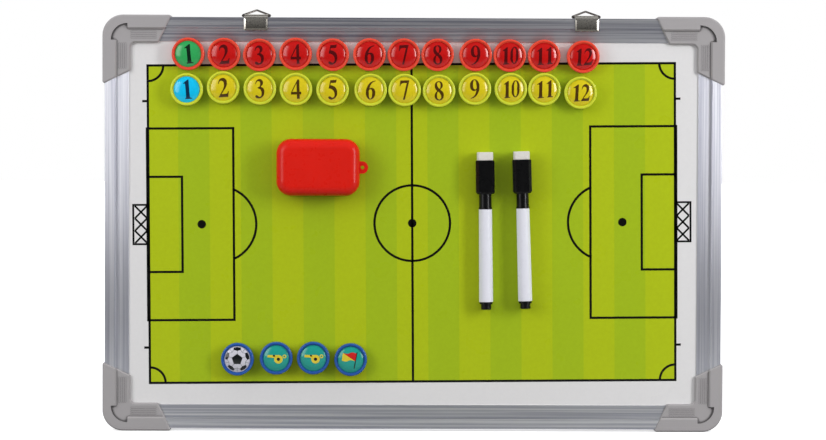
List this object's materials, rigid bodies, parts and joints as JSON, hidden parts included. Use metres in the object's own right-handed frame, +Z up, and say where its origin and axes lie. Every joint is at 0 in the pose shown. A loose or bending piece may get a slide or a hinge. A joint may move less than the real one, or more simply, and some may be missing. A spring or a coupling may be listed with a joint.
{
  "type": "tactics board",
  "caption": "Framed magnetic board printed with a football pitch, with numbered domed magnets, marker pens, a felt eraser and ring hangers clipped on the top rail.",
  "frame": {"origin": "middle of the wall plane behind the board, at the middle of its width and height over the frame", "axes": "+X to the viewer's right along the length, +Y back into the wall, +Z up; the print faces -Y"},
  "size_m": [0.45, 0.0295, 0.3059],
  "materials": {
    "sheet_white": "glossy white enamel with a printed pitch",
    "core_fibre": "raw fibreboard",
    "backing_zinc": "galvanised sheet",
    "rail_aluminium": "satin anodised extrusion",
    "cap_grey": "satin moulded",
    "hanger_steel": "bright plated",
    "magnet_red": "glossy with a clear dome",
    "magnet_yellow": "glossy with a clear dome",
    "magnet_blue": "glossy with a clear dome",
    "eraser_red": "smooth moulded",
    "felt_grey": "pressed felt",
    "ferrite": "dark sintered",
    "marker_black": "glossy moulded",
    "marker_white": "glossy moulded",
    "felt_white": "pressed felt",
    "ink_fibre": "ink-soaked fibre"
  },
  "bodies": {
    "board": {"writing_sheet": "sheet_white", "core_board": "core_fibre", "backing_sheet": "backing_zinc", "rail_top": "rail_aluminium", "rail_bottom": "rail_aluminium", "rail_left": "rail_aluminium", "rail_right": "rail_aluminium", "corner_cap_top_left": "cap_grey", "corner_cap_top_right": "cap_grey", "corner_cap_bottom_left": "cap_grey", "corner_cap_bottom_right": "cap_grey"},
    "ball_magnet": {"ball_magnet": "magnet_blue"},
    "referee_magnet_left": {"referee_magnet_left": "magnet_blue"},
    "referee_magnet_right": {"referee_magnet_right": "magnet_blue"},
    "flag_magnet": {"flag_magnet": "magnet_blue"},
    "eraser": {"eraser_shell": "eraser_red", "eraser_felt": "felt_grey", "eraser_magnets": "ferrite"},
    "red_magnet_01": {"red_magnet_01": "magnet_red"},
    "red_magnet_02": {"red_magnet_02": "magnet_red"},
    "red_magnet_03": {"red_magnet_03": "magnet_red"},
    "red_magnet_04": {"red_magnet_04": "magnet_red"},
    "red_magnet_05": {"red_magnet_05": "magnet_red"},
    "red_magnet_06": {"red_magnet_06": "magnet_red"},
    "red_magnet_07": {"red_magnet_07": "magnet_red"},
    "red_magnet_08": {"red_magnet_08": "magnet_red"},
    "red_magnet_09": {"red_magnet_09": "magnet_red"},
    "red_magnet_10": {"red_magnet_10": "magnet_red"},
    "red_magnet_11": {"red_magnet_11": "magnet_red"},
    "red_magnet_12": {"red_magnet_12": "magnet_red"},
    "yellow_magnet_01": {"yellow_magnet_01": "magnet_yellow"},
    "yellow_magnet_02": {"yellow_magnet_02": "magnet_yellow"},
    "yellow_magnet_03": {"yellow_magnet_03": "magnet_yellow"},
    "yellow_magnet_04": {"yellow_magnet_04": "magnet_yellow"},
    "yellow_magnet_05": {"yellow_magnet_05": "magnet_yellow"},
    "yellow_magnet_06": {"yellow_magnet_06": "magnet_yellow"},
    "yellow_magnet_07": {"yellow_magnet_07": "magnet_yellow"},
    "yellow_magnet_08": {"yellow_magnet_08": "magnet_yellow"},
    "yellow_magnet_09": {"yellow_magnet_09": "magnet_yellow"},
    "yellow_magnet_10": {"yellow_magnet_10": "magnet_yellow"},
    "yellow_magnet_11": {"yellow_magnet_11": "magnet_yellow"},
    "yellow_magnet_12": {"yellow_magnet_12": "magnet_yellow"},
    "hanger_left": {"hanger_clip_left": "hanger_steel"},
    "ring_left": {"hanger_ring_left": "hanger_steel"},
    "marker_left_cap_set": {"marker_left_cap": "marker_black", "marker_left_cap_felt": "felt_white", "marker_left_cap_magnet": "ferrite"},
    "marker_left_pen_set": {"marker_left_barrel": "marker_white", "marker_left_nib": "ink_fibre", "marker_left_ink_core": "ink_fibre", "marker_left_end_plug": "marker_black"},
    "hanger_right": {"hanger_clip_right": "hanger_steel"},
    "ring_right": {"hanger_ring_right": "hanger_steel"},
    "marker_right_cap_set": {"marker_right_cap": "marker_black", "marker_right_cap_felt": "felt_white", "marker_right_cap_magnet": "ferrite"},
    "marker_right_pen_set": {"marker_right_barrel": "marker_white", "marker_right_nib": "ink_fibre", "marker_right_ink_core": "ink_fibre", "marker_right_end_plug": "marker_black"}
  },
  "joints": [
    {"name": "ball_lift", "type": "slide", "parent": "board", "child": "ball_magnet", "axis": [0, -1, 0], "range_m": [0, 0.05]},
    {"name": "eraser_lift", "type": "slide", "parent": "board", "child": "eraser", "axis": [0, -1, 0], "range_m": [0, 0.06]},
    {"name": "flag_lift", "type": "slide", "parent": "board", "child": "flag_magnet", "axis": [0, -1, 0], "range_m": [0, 0.05]},
    {"name": "hanger_left_slide", "type": "slide", "parent": "board", "child": "hanger_left", "axis": [1, 0, 0], "range_m": [-0.045, 0.1]},
    {"name": "hanger_left_swing", "type": "hinge", "parent": "hanger_left", "child": "ring_left", "pos_m": [-0.1144, -0.0079, 0.14995], "axis": [1, 0, 0], "range_deg": [-22, 130]},
    {"name": "hanger_right_slide", "type": "slide", "parent": "board", "child": "hanger_right", "axis": [1, 0, 0], "range_m": [-0.1, 0.035]},
    {"name": "hanger_right_swing", "type": "hinge", "parent": "hanger_right", "child": "ring_right", "pos_m": [0.1248, -0.0079, 0.14995], "axis": [1, 0, 0], "range_deg": [-22, 130]},
    {"name": "marker_left_lift", "type": "slide", "parent": "board", "child": "marker_left_cap_set", "axis": [0, -1, 0], "range_m": [0, 0.05]},
    {"name": "marker_left_uncap", "type": "slide", "parent": "marker_left_cap_set", "child": "marker_left_pen_set", "axis": [0.0122, 0, -0.9999], "range_m": [0, 0.04]},
    {"name": "marker_right_lift", "type": "slide", "parent": "board", "child": "marker_right_cap_set", "axis": [0, -1, 0], "range_m": [0, 0.05]},
    {"name": "marker_right_uncap", "type": "slide", "parent": "marker_right_cap_set", "child": "marker_right_pen_set", "axis": [0.0305, 0, -0.9995], "range_m": [0, 0.04]},
    {"name": "referee_left_lift", "type": "slide", "parent": "board", "child": "referee_magnet_left", "axis": [0, -1, 0], "range_m": [0, 0.05]},
    {"name": "referee_right_lift", "type": "slide", "parent": "board", "child": "referee_magnet_right", "axis": [0, -1, 0], "range_m": [0, 0.05]},
    {"name": "red_01_lift", "type": "slide", "parent": "board", "child": "red_magnet_01", "axis": [0, -1, 0], "range_m": [0, 0.05]},
    {"name": "red_02_lift", "type": "slide", "parent": "board", "child": "red_magnet_02", "axis": [0, -1, 0], "range_m": [0, 0.05]},
    {"name": "red_03_lift", "type": "slide", "parent": "board", "child": "red_magnet_03", "axis": [0, -1, 0], "range_m": [0, 0.05]},
    {"name": "red_04_lift", "type": "slide", "parent": "board", "child": "red_magnet_04", "axis": [0, -1, 0], "range_m": [0, 0.05]},
    {"name": "red_05_lift", "type": "slide", "parent": "board", "child": "red_magnet_05", "axis": [0, -1, 0], "range_m": [0, 0.05]},
    {"name": "red_06_lift", "type": "slide", "parent": "board", "child": "red_magnet_06", "axis": [0, -1, 0], "range_m": [0, 0.05]},
    {"name": "red_07_lift", "type": "slide", "parent": "board", "child": "red_magnet_07", "axis": [0, -1, 0], "range_m": [0, 0.05]},
    {"name": "red_08_lift", "type": "slide", "parent": "board", "child": "red_magnet_08", "axis": [0, -1, 0], "range_m": [0, 0.05]},
    {"name": "red_09_lift", "type": "slide", "parent": "board", "child": "red_magnet_09", "axis": [0, -1, 0], "range_m": [0, 0.05]},
    {"name": "red_10_lift", "type": "slide", "parent": "board", "child": "red_magnet_10", "axis": [0, -1, 0], "range_m": [0, 0.05]},
    {"name": "red_11_lift", "type": "slide", "parent": "board", "child": "red_magnet_11", "axis": [0, -1, 0], "range_m": [0, 0.05]},
    {"name": "red_12_lift", "type": "slide", "parent": "board", "child": "red_magnet_12", "axis": [0, -1, 0], "range_m": [0, 0.05]},
    {"name": "yellow_01_lift", "type": "slide", "parent": "board", "child": "yellow_magnet_01", "axis": [0, -1, 0], "range_m": [0, 0.05]},
    {"name": "yellow_02_lift", "type": "slide", "parent": "board", "child": "yellow_magnet_02", "axis": [0, -1, 0], "range_m": [0, 0.05]},
    {"name": "yellow_03_lift", "type": "slide", "parent": "board", "child": "yellow_magnet_03", "axis": [0, -1, 0], "range_m": [0, 0.05]},
    {"name": "yellow_04_lift", "type": "slide", "parent": "board", "child": "yellow_magnet_04", "axis": [0, -1, 0], "range_m": [0, 0.05]},
    {"name": "yellow_05_lift", "type": "slide", "parent": "board", "child": "yellow_magnet_05", "axis": [0, -1, 0], "range_m": [0, 0.05]},
    {"name": "yellow_06_lift", "type": "slide", "parent": "board", "child": "yellow_magnet_06", "axis": [0, -1, 0], "range_m": [0, 0.05]},
    {"name": "yellow_07_lift", "type": "slide", "parent": "board", "child": "yellow_magnet_07", "axis": [0, -1, 0], "range_m": [0, 0.05]},
    {"name": "yellow_08_lift", "type": "slide", "parent": "board", "child": "yellow_magnet_08", "axis": [0, -1, 0], "range_m": [0, 0.05]},
    {"name": "yellow_09_lift", "type": "slide", "parent": "board", "child": "yellow_magnet_09", "axis": [0, -1, 0], "range_m": [0, 0.05]},
    {"name": "yellow_10_lift", "type": "slide", "parent": "board", "child": "yellow_magnet_10", "axis": [0, -1, 0], "range_m": [0, 0.05]},
    {"name": "yellow_11_lift", "type": "slide", "parent": "board", "child": "yellow_magnet_11", "axis": [0, -1, 0], "range_m": [0, 0.05]},
    {"name": "yellow_12_lift", "type": "slide", "parent": "board", "child": "yellow_magnet_12", "axis": [0, -1, 0], "range_m": [0, 0.05]}
  ]
}
